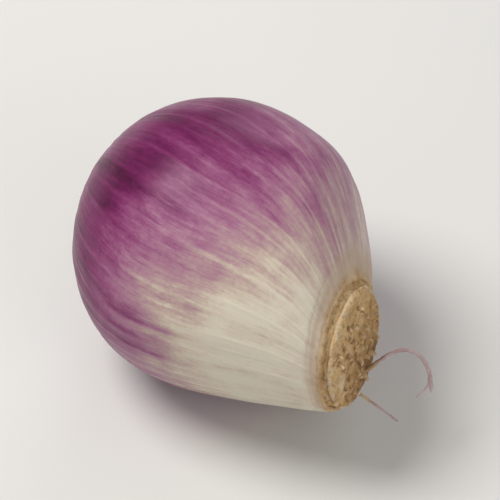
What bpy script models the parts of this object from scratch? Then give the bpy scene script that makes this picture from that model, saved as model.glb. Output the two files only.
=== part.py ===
# Peeled baby red onion lying on its side: the fleshy bulb, and the dry root plate with its rootlets.
# Metres, +Z up. The bulb's axis runs along X, with the root end at +X and the trimmed neck at -X.
# The origin is the middle of the small flat spot that the bulb rests on.

import math
import random

import bmesh
import bpy
from mathutils import Matrix, Vector, noise

MM = 0.001

# The bulb's outline, measured from its widest section along the axis.
BULB_RADIUS = 23.0 * MM
SHOULDER_REACH = 23.0 * MM  # where the round shoulder would close on the axis
NECK_END = 24.0 * MM  # where the trimmed neck ends
NECK_RADIUS = 4.2 * MM
NECK_FOOT_ANGLE = math.radians(15)  # how far round the shoulder the neck starts
ROOT_REACH = 27.2 * MM  # where the flesh turns over to the root plate
ROOT_END_RADIUS = 10.3 * MM
TAPER_START = 1.85  # exponents of the taper from the widest section to the root end
TAPER_END = 0.93
SCALE_EDGE = 25.0 * MM  # where the outermost scale was trimmed off round the root end
SCALE_STEP = 0.25 * MM  # its thickness there

# The bulb grew a little crooked: its flank bows one way and its root end is set over the other way.
FLANK_SHIFT = Vector((0.0, 1.5, 1.1)) * MM
ROOT_END_SHIFT = Vector((0.0, -1.6, -1.1)) * MM
ROOT_FACING = Vector((0.940, 0.314, 0.134))  # the way the root plate faces

# The seat of the root plate.
SEAT_RADIUS = 9.4 * MM
SEAT_FLOOR = 26.5 * MM
GAP = 0.3 * MM  # between the root plate and its seat

# The small flat spot under the bulb.
REST_DEPTH = 1.0 * MM
AXIS_HEIGHT = BULB_RADIUS - REST_DEPTH

# Relief of the bulb.
RIBS = 24
RIB_HEIGHT = 0.08 * MM
NECK_FOLDS = 8
NECK_FOLD_HEIGHT = 0.3 * MM
NECK_BEND = Vector((0.0, 0.9, 0.7)) * MM  # how far the neck leans off the axis
TURN_STEPS = 96

# The root plate and what grows on it.
PLATE_RADIUS = SEAT_RADIUS - GAP
PLATE_BACK = SEAT_FLOOR + GAP
PLATE_HEIGHT = 2.9 * MM
PLATE_STEPS = 48
PLATE_BUMP = 0.25 * MM
STUB_COUNT = 36
STUB_RADIUS = 0.5 * MM
STUB_LENGTH = (0.5 * MM, 1.3 * MM)
STUB_SPREAD = 0.8  # share of the plate's radius that carries stubs
LONG_ROOT_RADIUS = 0.34 * MM
ROOT_SINK = 0.9 * MM  # how deep each stub starts inside the plate
SEED = 7

BULB_COLOUR = (0.23, 0.035, 0.135, 1.0)
ROOT_COLOUR = (0.36, 0.22, 0.105, 1.0)


def clear_scene():
    for obj in list(bpy.data.objects):
        bpy.data.objects.remove(obj, do_unlink=True)


def make_material(name, colour, roughness):
    material = bpy.data.materials.new(name)
    material.use_nodes = True
    shader = material.node_tree.nodes["Principled BSDF"]
    shader.inputs["Base Color"].default_value = colour
    shader.inputs["Roughness"].default_value = roughness
    shader.inputs["Metallic"].default_value = 0.0
    material.diffuse_color = colour
    return material


def smooth_step(low, high, value):
    t = min(1.0, max(0.0, (value - low) / (high - low)))
    return t * t * (3.0 - 2.0 * t)


def neck_profile():
    """The cut neck from its centre out: the edges of three scales with grooves between, then its side."""
    scale_edges = 3
    points = [(-NECK_END + 0.1 * MM, 0.0)]
    for i in range(scale_edges):
        inner = NECK_RADIUS * (i + 0.35) / scale_edges
        outer = NECK_RADIUS * (i + 0.85) / scale_edges
        points.append((-NECK_END + 0.45 * MM, inner))
        points.append((-NECK_END, outer))
    points.append((-NECK_END + 0.35 * MM, NECK_RADIUS))
    return points


def shoulder_profile(steps=15):
    """The round shoulder from the neck's foot to just before the widest section."""
    points = []
    for i in range(steps):
        angle = NECK_FOOT_ANGLE + (math.pi / 2 - NECK_FOOT_ANGLE) * i / steps
        points.append((-SHOULDER_REACH * math.cos(angle), BULB_RADIUS * math.sin(angle)))
    return points


def taper_radius(along):
    """The bulb's radius between its widest section and the root end."""
    left = (1.0 - (along / ROOT_REACH) ** TAPER_START) ** TAPER_END
    return ROOT_END_RADIUS + (BULB_RADIUS - ROOT_END_RADIUS) * left


def root_side_profile(steps=10):
    """The tapering side, with a small step down where the outermost scale ends."""
    points = []
    for i in range(steps + 1):
        along = SCALE_EDGE * i / steps
        points.append((along, taper_radius(along)))
    points.append((SCALE_EDGE + SCALE_STEP, taper_radius(SCALE_EDGE) - SCALE_STEP))
    points.append((ROOT_REACH, ROOT_END_RADIUS))
    return points


def seat_profile():
    """The flesh turns over at the root end and drops into the root plate's seat."""
    lip = (ROOT_END_RADIUS - SEAT_RADIUS) / 2
    points = []
    for degrees in (35, 70, 105, 140):
        angle = math.radians(degrees)
        points.append((ROOT_REACH + lip * math.sin(angle), SEAT_RADIUS + lip + lip * math.cos(angle)))
    points.append((ROOT_REACH, SEAT_RADIUS))
    points.append((SEAT_FLOOR, SEAT_RADIUS - 0.2 * MM))
    points.append((SEAT_FLOOR, 0.0))
    return points


def turn(profile, steps):
    """A closed body turned about the X axis from (along, radius) points."""
    body = bmesh.new()
    verts = [body.verts.new((along, 0.0, radius)) for along, radius in profile]
    edges = [body.edges.new(pair) for pair in zip(verts, verts[1:])]
    bmesh.ops.spin(
        body, geom=verts + edges, cent=(0, 0, 0), axis=(1, 0, 0),
        angle=2 * math.pi, steps=steps, use_merge=True,
    )
    bmesh.ops.remove_doubles(body, verts=body.verts, dist=1e-6)
    bmesh.ops.recalc_face_normals(body, faces=body.faces)
    return body


def bend_root_end(point):
    """Bows the flank, sets the root end over and turns it to the way it faces."""
    share = min(1.0, max(0.0, point.x / ROOT_REACH))
    slope = (ROOT_FACING.y * point.y + ROOT_FACING.z * point.z) / ROOT_FACING.x
    point.x -= slope * smooth_step(0.0, 1.0, share)
    point += ROOT_END_SHIFT * share ** 3 + FLANK_SHIFT * 6.75 * share ** 2 * (1.0 - share)


def grow_bulb(point):
    """Gives a turned point the bulb's ribs, slight unevenness, neck folds and crooked ends."""
    radius = math.hypot(point.y, point.z)
    around = math.atan2(point.z, point.y)
    on_flesh = smooth_step(-NECK_END, -0.8 * NECK_END, point.x)
    on_flesh *= 1.0 - smooth_step(0.8 * ROOT_REACH, ROOT_REACH, point.x)
    at_neck = smooth_step(0.7 * NECK_END, NECK_END, -point.x) * min(1.0, radius / NECK_RADIUS)
    swell = 0.006 * math.cos(2 * around + 0.9) + 0.004 * math.cos(3 * around + 2.0)
    rib = math.cos(RIBS * around + 0.8 * math.sin(2 * around + 0.5)) * min(1.0, 1.6 * radius / BULB_RADIUS)
    radius_gain = (radius * swell + RIB_HEIGHT * rib) * on_flesh
    radius_gain += NECK_FOLD_HEIGHT * math.cos(NECK_FOLDS * around + 1.0) * at_neck
    if radius > 0.0:
        point.yz = point.yz * (1.0 + radius_gain / radius)
    if point.x < 0.0:
        point += NECK_BEND * (-point.x / NECK_END) ** 4
    bend_root_end(point)


def make_object(name, body, material):
    mesh = bpy.data.meshes.new(name)
    body.to_mesh(mesh)
    body.free()
    mesh.materials.append(material)
    mesh.shade_smooth()
    mesh.set_sharp_from_angle(angle=math.radians(50))
    obj = bpy.data.objects.new(name, mesh)
    bpy.context.scene.collection.objects.link(obj)
    return obj


def make_bulb(material):
    body = turn(neck_profile() + shoulder_profile() + root_side_profile() + seat_profile(), TURN_STEPS)
    for vert in body.verts:
        grow_bulb(vert.co)
    cut = bmesh.ops.bisect_plane(
        body, geom=body.verts[:] + body.edges[:] + body.faces[:],
        plane_co=(0, 0, -AXIS_HEIGHT), plane_no=(0, 0, -1), clear_outer=True,
    )
    rim = [item for item in cut["geom_cut"] if isinstance(item, bmesh.types.BMEdge)]
    bmesh.ops.contextual_create(body, geom=rim)
    bmesh.ops.recalc_face_normals(body, faces=body.faces)
    return make_object("bulb", body, material)


def plate_profile():
    """The root plate from the middle of its back round to the middle of its face."""
    outline = (
        (0.0, 0.0), (0.35, 0.0), (0.7, 0.0), (0.97, 0.0), (1.0, 0.06), (1.0, 0.3),  # back and side
        (0.995, 0.45), (0.96, 0.54), (0.985, 0.66), (0.965, 0.82),  # a ridge at the foot and one at the edge
        (0.9, 0.92), (0.81, 0.91), (0.69, 0.94), (0.55, 0.97),  # the low dome of the face
        (0.41, 0.99), (0.27, 1.0), (0.13, 1.0), (0.0, 1.0),
    )
    return [(PLATE_BACK + PLATE_HEIGHT * height, PLATE_RADIUS * share) for share, height in outline]


def grow_plate(point):
    """Corky unevenness on the face of the plate, which leaves its back and side as turned."""
    on_face = smooth_step(0.7, 0.9, (point.x - PLATE_BACK) / PLATE_HEIGHT)
    point.x += PLATE_BUMP * on_face * noise.noise(Vector((point.y, point.z, 0.0)) / (1.6 * MM))
    bend_root_end(point)


def rootlet(name, route, radius, tip_share, holder):
    """A tapered tube with few sides through the route's places, as a mesh in the holder collection."""
    curve = bpy.data.curves.new(name, "CURVE")
    curve.dimensions = "3D"
    curve.bevel_depth = radius
    curve.bevel_resolution = 1
    curve.use_fill_caps = True
    spline = curve.splines.new("POLY")
    spline.points.add(len(route) - 1)
    for i, (point, place) in enumerate(zip(spline.points, route)):
        point.co = (*place, 1.0)
        point.radius = 1.0 - (1.0 - tip_share) * i / (len(route) - 1)
    tube = bpy.data.objects.new(name, curve)
    holder.objects.link(tube)
    graph = bpy.context.evaluated_depsgraph_get()
    mesh = bpy.data.meshes.new_from_object(tube.evaluated_get(graph))
    bpy.data.objects.remove(tube, do_unlink=True)
    body = bmesh.new()
    body.from_mesh(mesh)
    bmesh.ops.remove_doubles(body, verts=body.verts, dist=1e-6)
    bmesh.ops.recalc_face_normals(body, faces=body.faces)
    body.to_mesh(mesh)
    body.free()
    holder.objects.link(bpy.data.objects.new(name, mesh))


def stub_route(start, heading, bend, length):
    """Three places from inside the plate out along the heading, with the tip leaning over."""
    root = start - heading * ROOT_SINK
    middle = start + heading * length * 0.3
    return [root, middle, middle + (heading + bend).normalized() * length * 0.7]


def plant_stubs(holder):
    """Broken-off rootlets over the whole face, set out like the seeds of a sunflower."""
    draw = random.Random(SEED)
    golden = math.pi * (3 - math.sqrt(5))
    for i in range(STUB_COUNT):
        share = STUB_SPREAD * math.sqrt((i + 0.6) / STUB_COUNT)
        around = i * golden + draw.uniform(-0.2, 0.2)
        outward = Vector((0.0, math.cos(around), math.sin(around)))
        start = outward * PLATE_RADIUS * share
        start.x = PLATE_BACK + 0.97 * PLATE_HEIGHT
        heading = (Vector((1, 0, 0)) + outward * share * draw.uniform(0.1, 0.6)).normalized()
        bend = Vector((0.0, draw.uniform(-0.5, 0.5), draw.uniform(-0.5, 0.5)))
        route = stub_route(start, heading, bend, draw.uniform(*STUB_LENGTH))
        for place in route:
            bend_root_end(place)
        rootlet(f"stub_{i}", route, STUB_RADIUS * draw.uniform(0.8, 1.25), 0.6, holder)


def plant_long_roots(holder):
    """The long dry roots, in millimetres: one arches over with a side root, and one trails down."""
    arch = [(28.4, 0.9, -8.2), (30.0, 0.7, -7.0), (30.8, 2.0, -5.9), (31.8, 3.9, -4.8), (33.3, 5.7, -4.4),
            (34.8, 6.8, -5.3), (36.1, 7.3, -7.1), (37.3, 7.0, -9.4), (37.9, 6.5, -11.5)]
    side_root = [(37.2, 7.0, -9.2), (37.3, 6.3, -10.2), (37.1, 5.2, -10.8), (36.8, 3.9, -11.3)]
    trail = [(29.5, -4.2, -6.8), (31.0, -3.8, -7.6), (31.9, -3.0, -8.7),
             (32.9, -0.8, -12.0), (35.1, 0.5, -14.2), (35.9, 0.9, -14.9)]
    for name, places in (("arch", arch), ("side_root", side_root), ("trail", trail)):
        rootlet(name, [Vector(place) * MM for place in places], LONG_ROOT_RADIUS, 0.8, holder)


def make_root_plate(material):
    body = turn(plate_profile(), PLATE_STEPS)
    for vert in body.verts:
        grow_plate(vert.co)
    plate = make_object("root_plate", body, material)
    holder = bpy.data.collections.new("rootlets")
    bpy.context.scene.collection.children.link(holder)
    plant_stubs(holder)
    plant_long_roots(holder)
    union = plate.modifiers.new("rootlets", "BOOLEAN")
    union.operation = "UNION"
    union.operand_type = "COLLECTION"
    union.collection = holder
    union.solver = "EXACT"
    graph = bpy.context.evaluated_depsgraph_get()
    joined = bpy.data.meshes.new_from_object(plate.evaluated_get(graph))
    plate.modifiers.clear()
    plate.data = joined
    for obj in list(holder.objects):
        bpy.data.objects.remove(obj, do_unlink=True)
    bpy.data.collections.remove(holder)
    return plate


def main():
    clear_scene()
    bulb = make_bulb(make_material("onion_flesh", BULB_COLOUR, 0.28))
    root_plate = make_root_plate(make_material("dry_root", ROOT_COLOUR, 0.85))
    for obj in (bulb, root_plate):
        obj.data.transform(Matrix.Translation((0.0, 0.0, AXIS_HEIGHT)))


main()
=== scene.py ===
# Peeled baby red onion: the fine surface of the bulb, its root plate and its rootlets, over the CAD frame
import math
import random

import bmesh
import bpy
from mathutils import Matrix, Vector, noise


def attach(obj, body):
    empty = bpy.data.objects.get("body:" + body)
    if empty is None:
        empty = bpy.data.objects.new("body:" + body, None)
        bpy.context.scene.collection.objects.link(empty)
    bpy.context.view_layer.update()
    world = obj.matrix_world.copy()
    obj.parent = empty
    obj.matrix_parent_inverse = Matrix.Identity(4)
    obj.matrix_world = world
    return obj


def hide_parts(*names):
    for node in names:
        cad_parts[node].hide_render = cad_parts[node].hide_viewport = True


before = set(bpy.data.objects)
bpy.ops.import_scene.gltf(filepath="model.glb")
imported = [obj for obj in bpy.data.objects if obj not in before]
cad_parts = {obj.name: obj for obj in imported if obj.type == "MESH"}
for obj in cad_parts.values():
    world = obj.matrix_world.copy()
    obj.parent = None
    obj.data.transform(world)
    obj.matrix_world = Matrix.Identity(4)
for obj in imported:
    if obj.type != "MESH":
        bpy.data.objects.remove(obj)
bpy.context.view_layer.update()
mm = 0.001
cm = 10 * mm

# the grown shape that every piece shares
shape = {
    "bulbRadius": 23.0 * mm,
    "shoulderReach": 23.0 * mm,  # where the round shoulder would close on the axis
    "neckEnd": 24.0 * mm,
    "neckRadius": 4.2 * mm,
    "neckFootAngle": math.radians(15),  # how far round the shoulder the neck starts
    "rootReach": 27.2 * mm,  # where the flesh turns over to the root plate
    "rootEndRadius": 10.3 * mm,
    "taperStart": 1.85,  # exponents of the taper from the widest section to the root end
    "taperEnd": 0.93,
    "axisHeight": 22.0 * mm,  # the bulb's axis over the floor
    "flankShift": Vector((0.0, 1.5, 1.1)) * mm,  # how far the flank bows and the root end is set over
    "rootEndShift": Vector((0.0, -1.6, -1.1)) * mm,
    "rootFacing": Vector((0.940, 0.314, 0.134)),
    "neckBend": Vector((0.0, 0.9, 0.7)) * mm,
}


def smoothStep(low, high, value):
    t = min(1.0, max(0.0, (value - low) / (high - low)))
    return t * t * (3.0 - 2.0 * t)


def ringNoise(around, spread, layer):
    # noise that closes on itself round the axis
    return noise.noise(Vector((math.cos(around) * spread, math.sin(around) * spread, layer)))


def faceNoise(point, size, shift=(0, 0, 0)):
    # noise over a cut face, the same all along the axis
    return noise.noise(Vector((point.y, point.z, 0.0)) / size + Vector(shift))


def taperRadius(along):
    # radius between the widest section and the root end
    left = (1.0 - (along / shape["rootReach"]) ** shape["taperStart"]) ** shape["taperEnd"]
    return shape["rootEndRadius"] + (shape["bulbRadius"] - shape["rootEndRadius"]) * left


def bendRootEnd(point):
    # the flank bows one way, the root end is set over the other way and faces a little sideways
    share = min(1.0, max(0.0, point.x / shape["rootReach"]))
    facing = shape["rootFacing"]
    point.x -= (facing.y * point.y + facing.z * point.z) / facing.x * smoothStep(0.0, 1.0, share)
    peak = 6.75  # brings the largest value of share ** 2 * (1 - share) to 1
    point += shape["rootEndShift"] * share ** 3 + shape["flankShift"] * peak * share ** 2 * (1.0 - share)


def turnProfile(profile, steps):
    # a closed body turned about X from (along, radius) places
    body = bmesh.new()
    verts = [body.verts.new((along, 0.0, radius)) for along, radius in profile]
    edges = [body.edges.new(pair) for pair in zip(verts, verts[1:])]
    bmesh.ops.spin(body, geom=verts + edges, cent=(0, 0, 0), axis=(1, 0, 0),
                   angle=2 * math.pi, steps=steps, use_merge=True)
    bmesh.ops.remove_doubles(body, verts=body.verts, dist=1e-6)
    bmesh.ops.recalc_face_normals(body, faces=body.faces)
    return body


def finishPiece(name, body, material, replaced=()):
    # lifts the finished body from the bulb's axis to its place over the floor
    bmesh.ops.translate(body, verts=body.verts, vec=(0, 0, shape["axisHeight"]))
    mesh = bpy.data.meshes.new(name)
    body.to_mesh(mesh)
    body.free()
    mesh.materials.append(material)
    mesh.shade_smooth()
    piece = bpy.data.objects.new(name, mesh)
    bpy.context.scene.collection.objects.link(piece)
    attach(piece, "root")
    for node in replaced:
        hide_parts(node)
    print(name, len(mesh.polygons), "faces")


# material helpers

def addNode(tree, kind, inputs=None, **settings):
    made = tree.nodes.new(kind)
    for key, value in settings.items():
        setattr(made, key, value)
    for key, value in (inputs or {}).items():
        if isinstance(value, bpy.types.NodeSocket):
            tree.links.new(value, made.inputs[key])
        else:
            made.inputs[key].default_value = value
    return made


def mathNode(tree, operation, first, second=0.0, third=0.0):
    # only MULTIPLY_ADD reads the third value
    return addNode(tree, "ShaderNodeMath", {0: first, 1: second, 2: third}, operation=operation).outputs[0]


def addShares(tree, total, shares, middle=0.0):
    # adds each source times its strength, counted from the middle of its range
    for source, strength in shares:
        share = mathNode(tree, "MULTIPLY_ADD", source, strength, -middle * strength)
        total = mathNode(tree, "ADD", total, share)
    return total


def readLayer(tree, name, output="Fac"):
    return addNode(tree, "ShaderNodeAttribute", attribute_name=name).outputs[output]


def mixColour(tree, factor, first, second):
    return addNode(tree, "ShaderNodeMix", {0: factor, 6: first, 7: second}, data_type="RGBA").outputs[2]


def remapLinear(tree, value, low, high):
    return addNode(tree, "ShaderNodeMapRange", {"Value": value, "From Min": low, "From Max": high}).outputs[0]


def remap(tree, value, low, high, toLow=0.0, toHigh=1.0):
    names = {"Value": value, "From Min": low, "From Max": high, "To Min": toLow, "To Max": toHigh}
    return addNode(tree, "ShaderNodeMapRange", names, interpolation_type="SMOOTHSTEP").outputs[0]


def stretched(tree, vector, scale):
    made = addNode(tree, "ShaderNodeVectorMath", {0: vector, 1: scale}, operation="MULTIPLY")
    return made.outputs[0]


def noiseNode(tree, vector, scale, detail=3.0, roughness=0.5):
    inputs = {"Vector": vector, "Scale": scale, "Detail": detail, "Roughness": roughness}
    return addNode(tree, "ShaderNodeTexNoise", inputs).outputs[0]


def streakNoise(tree, meridian, around, along, detail=3.0, roughness=0.5):
    # noise drawn out from neck to root: scale round the axis and along it
    return noiseNode(tree, stretched(tree, meridian, (around, around, along)), 1.0, detail, roughness)


def colourRamp(tree, value, stops):
    ramp = addNode(tree, "ShaderNodeValToRGB", {0: value})
    elements = ramp.color_ramp.elements
    while len(elements) < len(stops):
        elements.new(0.5)
    for element, (place, colour) in zip(elements, stops):
        element.position = place
        element.color = (*colour, 1.0)
    return ramp.outputs[0]


def newMaterial(name):
    material = bpy.data.materials.new(name)
    material.use_nodes = True
    tree = material.node_tree
    return material, tree, tree.nodes["Principled BSDF"]


def addBump(tree, shader, relief, strength, distance):
    bump = addNode(tree, "ShaderNodeBump", {"Height": relief, "Strength": strength, "Distance": distance})
    tree.links.new(bump.outputs[0], shader.inputs["Normal"])


def setShader(shader, values):
    for key, value in values.items():
        shader.inputs[key].default_value = value


# bulb

bulb = {
    "steps": 420,
    "neckRings": 42,
    "neckSideRings": 8,
    "shoulderRings": 74,
    "taperRings": 66,
    "bandRings": 11,
    "neckLip": 0.25 * mm,  # from the cut face back to where the neck's side starts
    "neckFlare": 1.6,
    "neckScale": 0.86 * mm,  # from one cut scale to the next
    "neckGroove": 0.5 * mm,
    "neckTurn": (0.90, 0.44),  # way of the line through the two growing points, along Y and Z
    "growingPoint": 0.75 * mm,
    "growingPointOval": 1.25,
    "neckOval": (0.95, 1.12),
    "ringsMerge": (0.8 * mm, 2.4 * mm),  # inside, rings round each growing point; outside, round both
    "ringWander": [(0.42 * mm, 1.9 * mm), (0.13 * mm, 0.55 * mm)],  # height and size of the noise
    "neckFringe": 0.45 * mm,
    "neckWave": 0.3 * mm,
    "neckWaveSize": 1.6 * mm,
    "swell": [(2, 0.9, 0.006), (3, 2.0, 0.004)],  # waves a turn, start in radians, share of the radius
    "ribs": 24,
    "ribHeight": 0.055 * mm,
    "ribWander": 2.2,
    "neckFolds": 8,
    "neckFoldHeight": 0.2 * mm,
    "lumpHeight": 0.16 * mm,
    "lumpSize": 9.0 * mm,
    "scaleEdge": 25.0 * mm,  # where the outermost scale was trimmed off round the root end
    "scaleTurn": [(0.03 * mm, 0.06 * mm), (0.08 * mm, 0.16 * mm), (0.16 * mm, 0.24 * mm)],  # onward and down
    "bandRidge": 0.07 * mm,
    "raggedness": 0.45 * mm,
    "raggedWidth": 0.9 * mm,
    "veins": 54,
    "veinHeight": 0.045 * mm,
    "seatRadius": 9.4 * mm,
    "seatFloor": 26.5 * mm,
    "seatSlope": 0.2 * mm,
    "lipWidth": 0.8 * mm,
    "lipCrumbs": 0.3 * mm,
    "seed": 11,
    "leastPigment": -1.55,
    "mostPigment": 1.7,
    "deepestPigment": 2.2,
    # where the purple gives way to cream: angle round the axis in degrees, place along it and width in cm
    "fade": [(35, 1.5, 1.4), (80, 1.75, 1.2), (105, 1.4, 1.2), (125, 0.85, 1.15), (137, 0.6, 1.0),
             (152, 0.2, 0.9), (168, 0.15, 0.65), (182, 0.35, 0.6), (200, 0.25, 0.8), (235, 0.5, 1.0),
             (275, 0.9, 1.2), (320, 1.3, 1.4)],
    # single streaks: angle, start and end along the axis in mm, half width in degrees, strength
    # the dark streaks at 124, 136 and 156 degrees near the neck are partly the neck's own dark colour and
    # partly painted shade; the pale one at 54 degrees is a painted reflection
    "streaks": [(54, -3, 11, 11.0, -0.5), (80, -6, 10, 5.0, 0.42), (92, -10, -2, 3.0, 0.25),
                (86, -18, -8, 5.0, 0.4), (113, -17, -3, 5.0, 0.7), (124, -18, -5, 4.0, 1.1),
                (122, -7, 3, 3.0, 0.75), (136, -17, -8, 4.0, 1.0), (156, -17, -10, 5.0, 0.5),
                (172, -3, 9, 1.6, 0.8), (187, -1, 9, 1.3, 0.7), (180, -3, 6, 2.0, 0.45),
                (122, 0, 9, 3.0, 0.4), (134, -7, 3, 3.0, -0.45), (141, -14, -8, 1.5, -0.4),
                (60, -2, 8, 6.0, -0.25)],
    # the same for the side away from the camera, each drawn between these
    "hiddenStreaks": 26,
    "hiddenStart": (-18, 2),
    "hiddenLength": (7, 14),
    "hiddenHalfWidth": (1.2, 5.0),
    "hiddenAngle": (200, 395),
    "hiddenStrength": (0.5, 0.4, 0.3, -0.35),
    # colour from cream to the deepest purple over this range of pigment
    "pigmentRange": (-1.6, 2.6),
    "fleshColours": [
        (0.0, (0.69, 0.635, 0.52)),
        (0.10, (0.635, 0.55, 0.45)),
        (0.21, (0.515, 0.385, 0.35)),
        (0.31, (0.43, 0.255, 0.30)),
        (0.41, (0.37, 0.165, 0.26)),
        (0.53, (0.285, 0.083, 0.192)),
        (0.68, (0.195, 0.028, 0.118)),
        (0.84, (0.130, 0.010, 0.074)),
        (1.0, (0.066, 0.003, 0.034)),
    ],
    "bandColours": [(0.3, (0.44, 0.315, 0.225)), (0.7, (0.60, 0.485, 0.37))],
    "lipColours": [(0.35, (0.40, 0.245, 0.11)), (0.65, (0.55, 0.395, 0.225))],
    "neckColours": [
        (0.30, (0.24, 0.105, 0.075)),
        (0.44, (0.40, 0.235, 0.145)),
        (0.56, (0.50, 0.345, 0.235)),
        (0.70, (0.50, 0.30, 0.30)),
    ],
    "grooveColour": (0.22, 0.065, 0.09, 1.0),
}


def neckProfile():
    # the trimmed face from its centre out, then the neck's side down to the shoulder
    neckEnd, neckRadius = shape["neckEnd"], shape["neckRadius"]
    count = bulb["neckRings"]
    points = [(-neckEnd, neckRadius * i / count) for i in range(count)]
    footX = -shape["shoulderReach"] * math.cos(shape["neckFootAngle"])
    footRadius = shape["bulbRadius"] * math.sin(shape["neckFootAngle"])
    lip = bulb["neckLip"]
    for i in range(bulb["neckSideRings"]):
        share = i / bulb["neckSideRings"]
        along = -neckEnd + lip + (footX + neckEnd - lip) * share
        points.append((along, neckRadius + (footRadius - neckRadius) * share ** bulb["neckFlare"]))
    return points


def onCutFace(point):
    return point.x < -0.995 * shape["neckEnd"]


def neckGroove(point):
    # 0 on the thin edge of a cut scale, 1 in the groove outside it; the scales are ovals round
    # two growing points
    cosine, sine = bulb["neckTurn"]
    y = cosine * point.y + sine * point.z
    z = -sine * point.y + cosine * point.z
    flatter = bulb["growingPointOval"] * z
    nearest = min(math.hypot(y - side * bulb["growingPoint"], flatter) for side in (-1, 1))
    whole = math.hypot(bulb["neckOval"][0] * y, bulb["neckOval"][1] * z)
    away = nearest + (whole - nearest) * smoothStep(*bulb["ringsMerge"], whole)
    away += sum(height * faceNoise(point, size) for height, size in bulb["ringWander"])
    depth = 0.4 + 0.6 * smoothStep(-0.35, 0.25, faceNoise(point, 1.3 * mm, (9, 4, 0)))
    rest = away / bulb["neckScale"] % 1.0
    return depth * smoothStep(0.0, 0.3, rest) * (1 - smoothStep(0.35, 1.0, rest))


def sideProfile():
    points = []
    footAngle = shape["neckFootAngle"]
    for i in range(bulb["shoulderRings"]):
        angle = footAngle + (math.pi / 2 - footAngle) * i / bulb["shoulderRings"]
        points.append((-shape["shoulderReach"] * math.cos(angle), shape["bulbRadius"] * math.sin(angle)))
    for i in range(bulb["taperRings"] + 1):
        along = bulb["scaleEdge"] * i / bulb["taperRings"]
        points.append((along, taperRadius(along)))
    # the trimmed edge of the outermost scale, then the dry band, then the edge of the next scale
    for onward, down in bulb["scaleTurn"]:
        points.append((bulb["scaleEdge"] + onward, taperRadius(bulb["scaleEdge"]) - down))
    bandStart, startRadius = points[-1]
    for i in range(1, bulb["bandRings"] + 1):
        share = i / bulb["bandRings"]
        along = bandStart + (shape["rootReach"] - bandStart) * share
        ridge = bulb["bandRidge"] * math.sin(math.pi * 3 * share)
        points.append((along, startRadius + (shape["rootEndRadius"] - startRadius) * share + ridge))
    return points


def seatProfile():
    # over the rounded lip and down into the seat of the root plate
    lip = (shape["rootEndRadius"] - bulb["seatRadius"]) / 2
    points = []
    for degrees in range(20, 161, 20):
        angle = math.radians(degrees)
        radius = bulb["seatRadius"] + lip + lip * math.cos(angle)
        points.append((shape["rootReach"] + lip * math.sin(angle), radius))
    points.append((shape["rootReach"], bulb["seatRadius"]))
    points.append((bulb["seatFloor"], bulb["seatRadius"] - bulb["seatSlope"]))
    points.append((bulb["seatFloor"], 0.0))
    return points


def fadeAt(angle):
    # place and width of the fade at this angle, eased between the listed ones
    stops = bulb["fade"]
    degrees = math.degrees(angle) % 360
    if degrees < stops[0][0]:
        degrees += 360
    for i, (start, place, width) in enumerate(stops):
        nextStop = stops[(i + 1) % len(stops)]
        end = nextStop[0] + (360 if i == len(stops) - 1 else 0)
        if degrees <= end:
            t = smoothStep(start, end, degrees)
            return place + (nextStop[1] - place) * t, width + (nextStop[2] - width) * t
    return stops[0][1], stops[0][2]


def streakAt(streaks, angle, along):
    # sum of the streaks here, each soft at its sides and its ends
    total = 0.0
    degrees = math.degrees(angle)
    for middle, start, end, halfWidth, strength in streaks:
        away = abs((degrees - middle + 180) % 360 - 180) / halfWidth
        if away < 3 and start - 3 < along < end + 3:
            inside = smoothStep(start - 2, start + 2, along) * (1 - smoothStep(end - 4, end + 2, along))
            total += strength * math.exp(-away * away) * inside
    return total


def allStreaks():
    # the side away from the camera gets streaks of the same kinds
    draw = random.Random(bulb["seed"])
    streaks = list(bulb["streaks"])
    for i in range(bulb["hiddenStreaks"]):
        start = draw.uniform(*bulb["hiddenStart"])
        end = start + draw.uniform(*bulb["hiddenLength"])
        halfWidth = draw.uniform(*bulb["hiddenHalfWidth"])
        angle = draw.uniform(*bulb["hiddenAngle"])
        streaks.append((angle, start, end, halfWidth, draw.choice(bulb["hiddenStrength"])))
    return streaks


def veinPlace(around, along):
    # how far the veins have wandered round here, and how plainly they show; along is in cm
    wander = 4.0 * ringNoise(around, 2.5, along * 0.3)
    shown = smoothStep(-0.3, 0.35, ringNoise(around, 8, along * 1.1 + 5))
    return wander, 0.15 + 0.85 * shown


def ribAt(around):
    # low ridges from neck to root that wander round and come and go
    wander = bulb["ribWander"] * ringNoise(around, 1.8, 11.0)
    share = 0.25 + 0.75 * smoothStep(-0.3, 0.4, ringNoise(around, 2.6, 6.0))
    return math.cos(bulb["ribs"] * around + 0.8 * math.sin(2 * around + 0.5) + wander) * share


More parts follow.
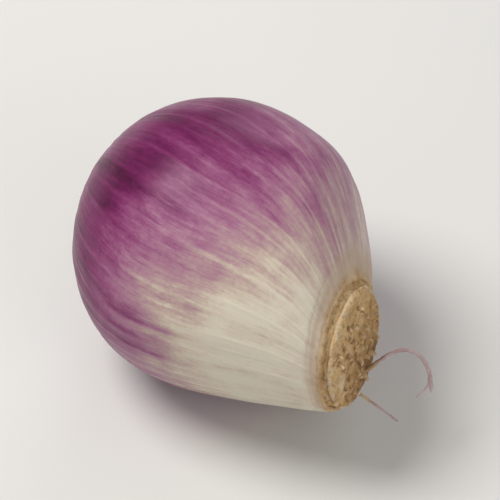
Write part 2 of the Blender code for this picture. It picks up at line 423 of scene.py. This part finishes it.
def growBulb(point):
    # ribs, lumps, neck folds and crooked ends, as the solid has them, with finer unevenness
    radius = math.hypot(point.y, point.z)
    around = math.atan2(point.z, point.y)
    neckEnd, rootReach, bulbRadius = shape["neckEnd"], shape["rootReach"], shape["bulbRadius"]
    groove = neckGroove(point) if onCutFace(point) else 0.0
    pastNeck = smoothStep(-neckEnd, -0.8 * neckEnd, point.x)
    onFlesh = pastNeck * (1 - smoothStep(0.8 * rootReach, rootReach, point.x))
    atNeck = smoothStep(0.7 * neckEnd, neckEnd, -point.x) * min(1.0, radius / shape["neckRadius"])

    # everything that moves the surface out from the axis
    swell = sum(share * math.cos(waves * around + turn) for waves, turn, share in bulb["swell"])
    rib = ribAt(around) * min(1.0, 1.6 * radius / bulbRadius)
    gain = (radius * swell + bulb["ribHeight"] * rib) * onFlesh
    gain += bulb["lumpHeight"] * noise.noise(point / bulb["lumpSize"]) * onFlesh
    wander, shown = veinPlace(around, point.x / cm)
    vein = smoothStep(0.35, 1.0, math.cos(bulb["veins"] * around + wander))
    gain += bulb["veinHeight"] * vein * shown * onFlesh * min(1.0, 2 * radius / bulbRadius)
    foldHeight = bulb["neckFoldHeight"] * (0.5 + 1.2 * ringNoise(around, 1.3, 2.0))
    gain += foldHeight * math.cos(bulb["neckFolds"] * around + 1.0) * atNeck ** 2
    gain += bulb["neckFringe"] * ringNoise(around, 4, 7.0) * atNeck
    if radius > 0.0:
        point.yz = point.yz * (1.0 + gain / radius)

    # the cut scales and the bend of the neck
    if point.x < 0.0:
        nearEdge = smoothStep(0.7, 1.0, radius / shape["neckRadius"])
        point.x += bulb["neckGroove"] * groove * (1 - 0.5 * nearEdge)
        point.x += bulb["neckWave"] * atNeck * faceNoise(point, bulb["neckWaveSize"])
        point += shape["neckBend"] * (-point.x / neckEnd) ** 4

    # the ragged edge of the outermost scale and the crumbs on the lip
    rim = math.exp(-((point.x - bulb["scaleEdge"]) / bulb["raggedWidth"]) ** 2)
    ragged = ringNoise(around, 3, 4.0)
    ragged += 0.5 * ringNoise(around, 14, 9.0)
    point.x += bulb["raggedness"] * rim * ragged
    atLip = smoothStep(rootReach - bulb["lipWidth"], rootReach, point.x)
    atLip *= smoothStep(0.9 * bulb["seatRadius"], bulb["seatRadius"], radius)
    crumbs = faceNoise(point, 1.1 * mm) + 0.6 * noise.noise(point / (0.45 * mm))
    point.x += bulb["lipCrumbs"] * atLip * crumbs
    bendRootEnd(point)
    point.z = max(point.z, -shape["axisHeight"])


def makeFleshMaterial():
    material, tree, shader = newMaterial("onionFlesh")
    place = addNode(tree, "ShaderNodeTexCoord").outputs["Object"]
    meridian = readLayer(tree, "meridian", "Vector")
    split = addNode(tree, "ShaderNodeSeparateXYZ", {0: meridian})
    along = split.outputs[2]

    # streaks of three widths that follow the scale from neck to root
    broad = streakNoise(tree, meridian, 7.0, 0.7, 3.0, 0.55)
    middle = streakNoise(tree, meridian, 24.0, 1.7, 3.0, 0.6)
    fine = streakNoise(tree, meridian, 90.0, 5.0, 3.0, 0.65)
    patches = noiseNode(tree, place, 240.0, 5.0, 0.65)
    specks = noiseNode(tree, place, 1700.0, 2.0, 0.5)

    # veins run from neck to root, wander a little and come and go, as the mesh has them
    around = mathNode(tree, "ARCTAN2", split.outputs[1], split.outputs[0])
    turns = mathNode(tree, "MULTIPLY", around, float(bulb["veins"]))
    veinWave = mathNode(tree, "COSINE", mathNode(tree, "ADD", turns, readLayer(tree, "wander")))
    vein = mathNode(tree, "MULTIPLY", remap(tree, veinWave, 0.35, 1.0), readLayer(tree, "shown"))

    veinLoss = mathNode(tree, "MULTIPLY", vein, 0.32)
    # this layer holds the skin's pigment together with the painted shade and painted reflection of some
    # streaks
    depth = mathNode(tree, "SUBTRACT", readLayer(tree, "pigmentAndPaintedLight"), veinLoss)
    shares = [(broad, 1.9), (middle, 1.15), (fine, 0.95), (patches, 1.3), (specks, 0.45)]
    depth = addShares(tree, depth, shares, 0.5)
    colour = colourRamp(tree, remapLinear(tree, depth, *bulb["pigmentRange"]), bulb["fleshColours"])

    # the dry band round the root end; its places are in cm along the axis
    bandEdge = streakNoise(tree, meridian, 9.0, 0.0, 3.0, 0.6)
    bandPlace = mathNode(tree, "MULTIPLY_ADD", bandEdge, 0.16, along)
    band = remap(tree, bandPlace, 2.50, 2.70)
    bandColour = colourRamp(tree, patches, bulb["bandColours"])
    colour = mixColour(tree, mathNode(tree, "MULTIPLY", band, 0.8), colour, bandColour)
    lip = remap(tree, bandPlace, 2.70, 2.84)
    lipColour = colourRamp(tree, patches, bulb["lipColours"])
    colour = mixColour(tree, mathNode(tree, "MULTIPLY", lip, 0.85), colour, lipColour)

    # the dried tips of the scales at the neck, dark in the grooves between them
    neckBroad = streakNoise(tree, meridian, 5.0, 0.0)
    neckFine = streakNoise(tree, meridian, 30.0, 0.6)
    neckPlace = addShares(tree, along, [(neckBroad, 0.18), (neckFine, 0.16), (patches, 0.08)])
    neck = remap(tree, neckPlace, -2.05, -2.12)
    drying = noiseNode(tree, place, 900.0, 4.0, 0.65)
    neckColour = colourRamp(tree, drying, bulb["neckColours"])
    grooveShare = mathNode(tree, "MULTIPLY", readLayer(tree, "groove"), 0.7)
    neckColour = mixColour(tree, grooveShare, neckColour, bulb["grooveColour"])
    colour = mixColour(tree, mathNode(tree, "MULTIPLY", neck, 0.88), colour, neckColour)
    tree.links.new(colour, shader.inputs["Base Color"])

    # glossy where moist, dull where dry
    moist = mathNode(tree, "MULTIPLY_ADD", patches, 0.16, 0.26)
    dry = mathNode(tree, "MAXIMUM", band, neck)
    tree.links.new(mathNode(tree, "MULTIPLY_ADD", dry, 0.3, moist), shader.inputs["Roughness"])

    relief = mathNode(tree, "MULTIPLY", fine, 0.35)
    relief = addShares(tree, relief, [(middle, 0.4), (vein, 0.25), (specks, 0.12), (patches, 0.25)])
    addBump(tree, shader, relief, 0.3, 0.4 * mm)
    setShader(shader, {
        "Subsurface Weight": 0.15, "Subsurface Radius": (1.0, 0.45, 0.4), "Subsurface Scale": 2 * mm,
        "IOR": 1.36, "Specular IOR Level": 0.32,
    })
    return material


def makeBulb():
    body = turnProfile(neckProfile() + sideProfile() + seatProfile(), bulb["steps"])
    meridian = body.verts.layers.float_vector.new("meridian")
    pigmentAndPaintedLight = body.verts.layers.float.new("pigmentAndPaintedLight")
    groove = body.verts.layers.float.new("groove")
    wander = body.verts.layers.float.new("wander")
    shown = body.verts.layers.float.new("shown")
    streaks = allStreaks()
    for vert in body.verts:
        around = math.atan2(vert.co.z, vert.co.y)
        along = vert.co.x / cm
        vert[meridian] = Vector((math.cos(around), math.sin(around), along))
        fadePlace, fadeWidth = fadeAt(around)
        depth = max(bulb["leastPigment"], min(bulb["mostPigment"], (fadePlace - along) / fadeWidth))
        # the fade and the streaks, some of which are painted shade near the neck and one a painted reflection
        vert[pigmentAndPaintedLight] = min(bulb["deepestPigment"], depth + streakAt(streaks, around, along * 10))
        vert[groove] = neckGroove(vert.co) if onCutFace(vert.co) else 0.0
        vert[wander], vert[shown] = veinPlace(around, along)
        growBulb(vert.co)
    finishPiece("bulb_flesh", body, makeFleshMaterial(), ["bulb"])


# root plate

plate = {
    "steps": 380,
    "faceRings": 70,
    "faceEdge": 0.9,  # where the face turns over to the side, as a share of the radius
    "crown": 0.09,  # how far the edge of the face lies back from its middle, as a share of the height
    "radius": 9.1 * mm,
    "back": 26.8 * mm,
    "height": 2.9 * mm,
    "footRadius": 9.55 * mm,
    # the side from the foot groove up to the edge of the face: height and radius as shares
    "side": [(0.21, 1.037), (0.27, 1.024), (0.33, 1.01), (0.39, 1.0), (0.45, 0.993), (0.5, 0.98),
             (0.54, 0.972), (0.58, 0.974), (0.62, 0.983), (0.66, 0.985), (0.71, 0.985), (0.77, 0.977),
             (0.82, 0.965), (0.86, 0.945), (0.9, 0.915)],
    "lump": 0.3 * mm,
    "bump": 0.25 * mm,
    "bumpSize": 1.6 * mm,
    "pitDepth": 0.2 * mm,
    "pitSize": 0.85 * mm,
    # lumps and hollows: place on the face and size as shares of its radius, rise in mm, darker above 0
    "marks": [(-0.67, -0.12, 0.16, 0.32, -1.0), (-0.15, -0.25, 0.34, -0.12, 0.45),
              (0.12, -0.80, 0.26, -0.10, 0.5), (-0.71, 0.54, 0.07, -0.20, 0.8),
              (-0.17, 0.61, 0.06, -0.18, 0.7), (-0.30, 0.35, 0.05, 0.10, -0.8),
              (-0.44, 0.14, 0.05, 0.10, -0.8), (-0.62, -0.42, 0.12, 0.15, -0.5)],
    "corkColours": [
        (0.28, (0.62, 0.435, 0.225)),
        (0.45, (0.52, 0.335, 0.15)),
        (0.60, (0.38, 0.22, 0.092)),
        (0.78, (0.21, 0.105, 0.042)),
    ],
    "pitColour": (0.075, 0.032, 0.016, 1.0),
    "darkMark": (0.20, 0.105, 0.045, 1.0),
    "paleMark": (0.66, 0.53, 0.37, 1.0),
    "speckColour": (0.62, 0.5, 0.34, 1.0),
    "ridgeColour": (0.56, 0.45, 0.33, 1.0),
    "grooveColour": (0.16, 0.08, 0.035, 1.0),
}


def faceHeight(share):
    # the crowned face at this share of the radius, as a share of the plate's height
    return 1.0 - plate["crown"] * (share / plate["faceEdge"]) ** 2


def plateProfile():
    foot = plate["footRadius"] / plate["radius"]
    points = [(0.0, 0.0), (0.0, 0.97), (0.06, foot), (0.14, foot)] + plate["side"]
    for i in range(1, plate["faceRings"] + 1):
        share = plate["faceEdge"] * (1 - i / plate["faceRings"])
        points.append((faceHeight(share), share))
    return [(plate["back"] + plate["height"] * height, plate["radius"] * share) for height, share in points]


def plateMark(point):
    # rise and shade of the face here, from its lumps, hollows and pits
    y, z = point.y / plate["radius"], point.z / plate["radius"]
    rise, shade = 0.0, 0.0
    for markY, markZ, size, height, darker in plate["marks"]:
        share = math.exp(-((y - markY) ** 2 + (z - markZ) ** 2) / size ** 2)
        rise += height * mm * share
        shade += darker * share
    pit = smoothStep(0.3, 0.55, faceNoise(point, plate["pitSize"], (5, 8, 0)))
    return rise - plate["pitDepth"] * pit, shade + 0.8 * pit


def growPlate(point, rise):
    around = math.atan2(point.z, point.y)
    radius = math.hypot(point.y, point.z)
    height = (point.x - plate["back"]) / plate["height"]
    onFace = smoothStep(0.7, 0.9, height)
    onSide = smoothStep(0.1, 0.3, height) * (1 - onFace)
    point.x += onFace * (rise + plate["bump"] * faceNoise(point, plate["bumpSize"]))
    fineLumps = faceNoise(point, 0.55 * mm, (3, 1, 0)) + 0.6 * faceNoise(point, 0.27 * mm)
    point.x += 0.5 * plate["lump"] * onFace * fineLumps
    if radius > 0:
        ragged = ringNoise(around, 17, point.x / (0.45 * mm))
        broken = ringNoise(around, 5, point.x / (1.0 * mm))
        point.yz = point.yz * (1 + plate["lump"] * (ragged * 0.7 + broken) * onSide / radius)
    bendRootEnd(point)


def makePlateMaterial():
    material, tree, shader = newMaterial("corkyRoot")
    place = addNode(tree, "ShaderNodeTexCoord").outputs["Object"]
    disc = readLayer(tree, "disc", "Vector")
    split = addNode(tree, "ShaderNodeSeparateXYZ", {0: disc})
    height = split.outputs[2]

    patches = noiseNode(tree, place, 330.0, 4.0, 0.6)
    grain = noiseNode(tree, place, 1800.0, 3.0, 0.6)
    cells = addNode(tree, "ShaderNodeTexVoronoi", {"Vector": place, "Scale": 1300.0}).outputs["Distance"]
    # darker towards one side of the face
    leaning = mathNode(tree, "MULTIPLY_ADD", split.outputs[1], -0.16, patches)
    leaning = addShares(tree, leaning, [(split.outputs[0], 0.08)])
    colour = colourRamp(tree, leaning, plate["corkColours"])

    # fine pits, the marks that the mesh has, and pale specks
    pit = remap(tree, cells, 0.1, 0.45, 1.0, 0.0)
    pitMask = mathNode(tree, "MULTIPLY", pit, remap(tree, grain, 0.46, 0.62))
    colour = mixColour(tree, mathNode(tree, "MULTIPLY", pitMask, 0.3), colour, plate["pitColour"])
    shade = readLayer(tree, "shade")
    colour = mixColour(tree, remap(tree, shade, 0.0, 1.0, 0.0, 0.5), colour, plate["darkMark"])
    colour = mixColour(tree, remap(tree, shade, 0.0, -1.0, 0.0, 0.7), colour, plate["paleMark"])
    speckMask = remap(tree, noiseNode(tree, place, 900.0, 1.0, 0.4), 0.66, 0.74)
    colour = mixColour(tree, mathNode(tree, "MULTIPLY", speckMask, 0.6), colour, plate["speckColour"])

    # the pale upper ridge round the side, broken here and there, and the dark groove at its foot
    overFoot = remap(tree, height, 0.5, 0.58)
    ridge = mathNode(tree, "MULTIPLY", overFoot, remap(tree, height, 0.84, 0.92, 1.0, 0.0))
    broken = remap(tree, noiseNode(tree, disc, 4.2, 3.0, 0.6), 0.44, 0.56)
    paleShare = mathNode(tree, "MULTIPLY", mathNode(tree, "MULTIPLY", ridge, broken), 0.85)
    colour = mixColour(tree, paleShare, colour, plate["ridgeColour"])
    groove = mathNode(tree, "ABSOLUTE", mathNode(tree, "SUBTRACT", height, 0.53))
    grooveShare = mathNode(tree, "MULTIPLY", remap(tree, groove, 0.0, 0.08, 1.0, 0.0), 0.3)
    colour = mixColour(tree, grooveShare, colour, plate["grooveColour"])
    tree.links.new(colour, shader.inputs["Base Color"])

    relief = addShares(tree, mathNode(tree, "MULTIPLY", grain, 0.6), [(patches, 0.8), (pit, -0.5)])
    addBump(tree, shader, relief, 0.7, 0.3 * mm)
    setShader(shader, {
        "Roughness": 0.82, "Specular IOR Level": 0.3, "Subsurface Weight": 0.08,
        "Subsurface Radius": (1.0, 0.6, 0.3), "Subsurface Scale": 0.8 * mm,
    })
    return material


def makePlate():
    body = turnProfile(plateProfile(), plate["steps"])
    disc = body.verts.layers.float_vector.new("disc")
    shade = body.verts.layers.float.new("shade")
    for vert in body.verts:
        height = (vert.co.x - plate["back"]) / plate["height"]
        vert[disc] = Vector((vert.co.y / plate["radius"], vert.co.z / plate["radius"], height))
        rise, vert[shade] = plateMark(vert.co)
        growPlate(vert.co, rise)
    finishPiece("root_disc", body, makePlateMaterial(), ["root_plate"])


# rootlets

rootlets = {
    "seed": 7,
    "stubCount": 36,
    "stubRadius": 0.5 * mm,
    "stubThinning": 0.72,  # dried, they are thinner than the solid's
    "stubLength": (0.5 * mm, 1.3 * mm),
    "stubSpread": 0.8,
    "stubFoot": 0.3,
    "stubDent": (0.3 * mm, 0.11 * mm),  # size and height of the dents in the dried skin
    "stubReach": (0.1 * mm, 0.9 * mm),  # between these the colour changes from foot to tip
    "sink": 0.9 * mm,  # how deep each stub starts inside the plate
    "nubCount": 70,
    "nubRadius": (0.3 * mm, 0.55 * mm),
    "nubOffset": (-0.44, -0.18),  # in mm, from the face back to the middle of the nub
    "nubDepth": 0.6 * mm,
    "nubLean": 0.35,
    "nubSides": 10,
    "longRadius": 0.29 * mm,
    "longFoot": 0.8,
    "longDent": (0.35 * mm, 0.09 * mm),
    "longReach": (0.6 * mm, 2.6 * mm),
    "longRoots": [("arch", 1.0, 1.0), ("sideRoot", 0.75, 0.45), ("trail", 0.9, 0.55)],  # thickness and tip
    # places in mm
    "arch": [(28.4, 0.9, -8.2), (30.0, 0.7, -7.0), (30.8, 2.0, -5.9), (31.8, 3.9, -4.8), (33.3, 5.7, -4.4),
             (34.8, 6.8, -5.3), (36.1, 7.3, -7.1), (37.3, 7.0, -9.4), (37.9, 6.5, -11.5)],
    "sideRoot": [(37.2, 7.0, -9.2), (37.3, 6.3, -10.2), (37.1, 5.2, -10.8), (36.8, 3.9, -11.3)],
    "trail": [(29.5, -4.2, -6.8), (31.0, -3.8, -7.6), (31.9, -3.0, -8.7), (32.9, -0.8, -12.0),
              (35.1, 0.5, -14.2), (35.9, 0.9, -14.9)],
    # light and dark at the foot, then light and dark at the tip
    "tanColours": [(0.56, 0.38, 0.185), (0.43, 0.27, 0.125), (0.62, 0.48, 0.31), (0.50, 0.36, 0.21)],
    "fibreColours": [(0.52, 0.37, 0.20), (0.36, 0.22, 0.11), (0.54, 0.42, 0.425), (0.37, 0.25, 0.25)],
}
goldenAngle = math.pi * (3 - math.sqrt(5))


def smoothRoute(places, perStretch):
    # a round curve through given places
    points = [places[0]] + list(places) + [places[-1]]
    route = []
    for a, b, c, d in zip(points, points[1:], points[2:], points[3:]):
        for i in range(perStretch):
            t = i / perStretch
            route.append(0.5 * (2 * b + (c - a) * t + (2 * a - 5 * b + 4 * c - d) * t * t
                                + (3 * b - a - 3 * c + d) * t ** 3))
    route.append(places[-1].copy())
    return route


def tubeMesh(name, tubes, resolution):
    # one mesh of all the tapered tubes; each is (route, radius at each place)
    curve = bpy.data.curves.new(name, "CURVE")
    curve.dimensions = "3D"
    curve.bevel_depth = 1.0
    curve.bevel_resolution = resolution
    curve.use_fill_caps = True
    for route, radii in tubes:
        spline = curve.splines.new("POLY")
        spline.points.add(len(route) - 1)
        for point, place, radius in zip(spline.points, route, radii):
            point.co = (*place, 1.0)
            point.radius = radius
    holder = bpy.data.objects.new(name, curve)
    bpy.context.scene.collection.objects.link(holder)
    graph = bpy.context.evaluated_depsgraph_get()
    mesh = bpy.data.meshes.new_from_object(holder.evaluated_get(graph))
    bpy.data.objects.remove(holder, do_unlink=True)
    body = bmesh.new()
    body.from_mesh(mesh)
    bmesh.ops.remove_doubles(body, verts=body.verts, dist=1e-7)
    bmesh.ops.recalc_face_normals(body, faces=body.faces)
    return body


def makeRootMaterial(name, colours, scale):
    material, tree, shader = newMaterial(name)
    footLight, footDark, tipLight, tipDark = colours
    place = addNode(tree, "ShaderNodeTexCoord").outputs["Object"]
    blotches = noiseNode(tree, place, scale, 3.0, 0.6)
    grain = noiseNode(tree, place, scale * 5, 2.0, 0.6)
    foot = colourRamp(tree, blotches, [(0.3, footLight), (0.7, footDark)])
    tip = colourRamp(tree, blotches, [(0.3, tipLight), (0.7, tipDark)])
    tree.links.new(mixColour(tree, readLayer(tree, "reach"), foot, tip), shader.inputs["Base Color"])
    addBump(tree, shader, grain, 0.5, 0.1 * mm)
    setShader(shader, {
        "Roughness": 0.7, "Specular IOR Level": 0.35, "Subsurface Weight": 0.15,
        "Subsurface Radius": (1.0, 0.6, 0.4), "Subsurface Scale": 0.5 * mm,
    })
    return material


def stubTubes():
    # the same broken-off rootlets as the solid has, drawn in the same order
    draw = random.Random(rootlets["seed"])
    tubes = []
    for i in range(rootlets["stubCount"]):
        share = rootlets["stubSpread"] * math.sqrt((i + 0.6) / rootlets["stubCount"])
        around = i * goldenAngle + draw.uniform(-0.2, 0.2)
        outward = Vector((0.0, math.cos(around), math.sin(around)))
        start = outward * plate["radius"] * share
        start.x = plate["back"] + 0.97 * plate["height"]
        heading = (Vector((1, 0, 0)) + outward * share * draw.uniform(0.1, 0.6)).normalized()
        bend = Vector((0.0, draw.uniform(-0.5, 0.5), draw.uniform(-0.5, 0.5)))
        length = draw.uniform(*rootlets["stubLength"])
        middle = start + heading * length * 0.3
        end = middle + (heading + bend).normalized() * length * 0.7
        places = [start - heading * rootlets["sink"], middle, end]
        for place in places:
            bendRootEnd(place)
        radius = rootlets["stubThinning"] * rootlets["stubRadius"] * draw.uniform(0.8, 1.25)
        route = smoothRoute(places, 8)
        last = len(route) - 1
        radii = []
        for k in range(last + 1):
            foot = rootlets["stubFoot"] * (1 - smoothStep(0.3, 0.75, k / last))
            radii.append(radius * (1.05 - 0.45 * k / last + foot) * (0.6 if k == last else 1))
        tubes.append((route, radii))
    return tubes


def longTubes():
    tubes = []
    for key, thickness, tip in rootlets["longRoots"]:
        route = smoothRoute([Vector(place) * mm for place in rootlets[key]], 16)
        last = len(route) - 1
        radii = []
        for k, place in enumerate(route):
            share = k / last
            taper = (1.1 + (tip - 1.1) * share) * (1 - 0.6 * smoothStep(0.93, 1.0, share))
            foot = rootlets["longFoot"] * (1 - smoothStep(0.02, 0.2, share))
            uneven = 1 + 0.22 * noise.noise(place / (0.9 * mm))
            radii.append(rootlets["longRadius"] * thickness * (taper + foot) * uneven)
        tubes.append((route, radii))
    return tubes


def shrivel(body, size, height):
    # dried skin: shallow dents and wrinkles over the whole surface
    body.normal_update()
    places = [vert.co + vert.normal * height * noise.noise(vert.co / size) for vert in body.verts]
    for vert, place in zip(body.verts, places):
        vert.co = place
    return body


def makeNubs():
    # cut root ends, flush with the face, each a low ring round a softer core
    draw = random.Random(rootlets["seed"] + 2)
    body = bmesh.new()
    reach = body.verts.layers.float.new("reach")
    sides, lean = rootlets["nubSides"], rootlets["nubLean"]
    for i in range(rootlets["nubCount"]):
        share = plate["faceEdge"] * math.sqrt((i + 0.5) / rootlets["nubCount"])
        around = i * goldenAngle + draw.uniform(-0.15, 0.15)
        outward = plate["radius"] * share
        place = Vector((plate["back"] + faceHeight(share) * plate["height"],
                        math.cos(around) * outward, math.sin(around) * outward))
        place.x += draw.uniform(*rootlets["nubOffset"]) * mm
        radius = draw.uniform(*rootlets["nubRadius"])
        tilt = Matrix.Rotation(draw.uniform(-lean, lean), 4, "Y")
        tilt = tilt @ Matrix.Rotation(draw.uniform(-lean, lean), 4, "Z")
        stand = Matrix.Translation(place) @ tilt @ Matrix.Rotation(math.pi / 2, 4, "Y")
        made = bmesh.ops.create_cone(body, cap_ends=True, segments=sides, radius1=radius,
                                     radius2=radius * 0.82, depth=rootlets["nubDepth"], matrix=stand)
        ends = [face for vert in made["verts"] for face in vert.link_faces if len(face.verts) == sides]
        top = max(set(ends), key=lambda face: face.calc_center_median().x)
        bmesh.ops.inset_individual(body, faces=[top], thickness=radius * 0.16, depth=0.05 * mm)
        bmesh.ops.inset_individual(body, faces=[top], thickness=radius * 0.22, depth=-0.11 * mm)
        for vert in made["verts"]:
            vert[reach] = 0.2
        for vert in top.verts:
            vert[reach] = 0.6
    for vert in body.verts:
        bendRootEnd(vert.co)
    bmesh.ops.recalc_face_normals(body, faces=body.faces)
    return body


def markReach(body, low, high):
    # 0 where a rootlet leaves the face of the plate, 1 further out
    facing = shape["rootFacing"].normalized()
    centre = Vector((plate["back"] + plate["height"], 0.0, 0.0))
    bendRootEnd(centre)
    reach = body.verts.layers.float.new("reach")
    for vert in body.verts:
        vert[reach] = smoothStep(low, high, (vert.co - centre).dot(facing))
    return body


def makeRootlets():
    tan = makeRootMaterial("tanRootlet", rootlets["tanColours"], 600.0)
    fibre = makeRootMaterial("dryRootFibre", rootlets["fibreColours"], 500.0)
    finishPiece("root_nubs", makeNubs(), tan)
    stubs = shrivel(tubeMesh("root_stubs", stubTubes(), 4), *rootlets["stubDent"])
    finishPiece("root_stubs", markReach(stubs, *rootlets["stubReach"]), tan)
    longRoots = shrivel(tubeMesh("long_roots", longTubes(), 4), *rootlets["longDent"])
    finishPiece("long_roots", markReach(longRoots, *rootlets["longReach"]), fibre)


# floor, light and camera

stage = {
    "azimuth": 41.7,
    "elevation": 46.9,
    "distance": 1.0,
    "lens": 464.0,
    "aim": Vector((0.0038, 0.0027, 0.0215)),
    "floorColour": (0.72, 0.715, 0.70, 1.0),
    "floorHalf": 20.0,
    "worldColour": (1.0, 0.99, 0.97, 1.0),
    "worldStrength": 0.28,
    # name, place to the camera's right, up and back from the aim, size, power and colour
    "lights": [
        ("key", (-0.26, 0.34, 0.30), 0.30, 2.4, (1.0, 0.98, 0.95)),
        ("fill", (0.30, -0.15, 0.36), 0.40, 0.7, (1.0, 0.99, 0.97)),
        ("rim", (0.10, 0.45, -0.12), 0.25, 0.4, (1.0, 1.0, 1.0)),
    ],
}


def viewAxes():
    azimuth, elevation = math.radians(stage["azimuth"]), math.radians(stage["elevation"])
    back = Vector((math.sin(azimuth) * math.cos(elevation), -math.cos(azimuth) * math.cos(elevation),
                   math.sin(elevation)))
    right = Vector((math.cos(azimuth), math.sin(azimuth), 0.0))
    return right, back.cross(right), back


def pointAt(obj, target):
    obj.rotation_euler = (target - obj.location).to_track_quat("-Z", "Y").to_euler()


def addLight(name, offset, size, power, colour):
    light = bpy.data.lights.new(name, "AREA")
    light.shape = "DISK"
    light.size = size
    light.energy = power
    light.color = colour
    obj = bpy.data.objects.new(name, light)
    bpy.context.scene.collection.objects.link(obj)
    obj.location = stage["aim"] + offset
    pointAt(obj, stage["aim"])


def makeStage():
    floorBody = bmesh.new()
    bmesh.ops.create_grid(floorBody, x_segments=1, y_segments=1, size=stage["floorHalf"])
    mesh = bpy.data.meshes.new("floor")
    floorBody.to_mesh(mesh)
    floorBody.free()
    material, tree, shader = newMaterial("paleFloor")
    setShader(shader, {"Base Color": stage["floorColour"], "Roughness": 0.6, "Specular IOR Level": 0.25})
    mesh.materials.append(material)
    floor = bpy.data.objects.new("floor", mesh)
    bpy.context.scene.collection.objects.link(floor)

    world = bpy.data.worlds.new("studio")
    world.use_nodes = True
    background = world.node_tree.nodes["Background"]
    background.inputs["Color"].default_value = stage["worldColour"]
    background.inputs["Strength"].default_value = stage["worldStrength"]
    bpy.context.scene.world = world

    right, up, back = viewAxes()
    for name, (toRight, toUp, toBack), size, power, colour in stage["lights"]:
        addLight(name, right * toRight + up * toUp + back * toBack, size, power, colour)

    camera = bpy.data.cameras.new("camera")
    camera.lens = stage["lens"]
    camera.clip_start = 0.01
    cameraObject = bpy.data.objects.new("camera", camera)
    bpy.context.scene.collection.objects.link(cameraObject)
    cameraObject.location = stage["aim"] + back * stage["distance"]
    pointAt(cameraObject, stage["aim"])
    bpy.context.scene.camera = cameraObject
    bpy.context.scene.view_settings.view_transform = "Standard"
    print("stage ready")


makeBulb()
makePlate()
makeRootlets()
makeStage()
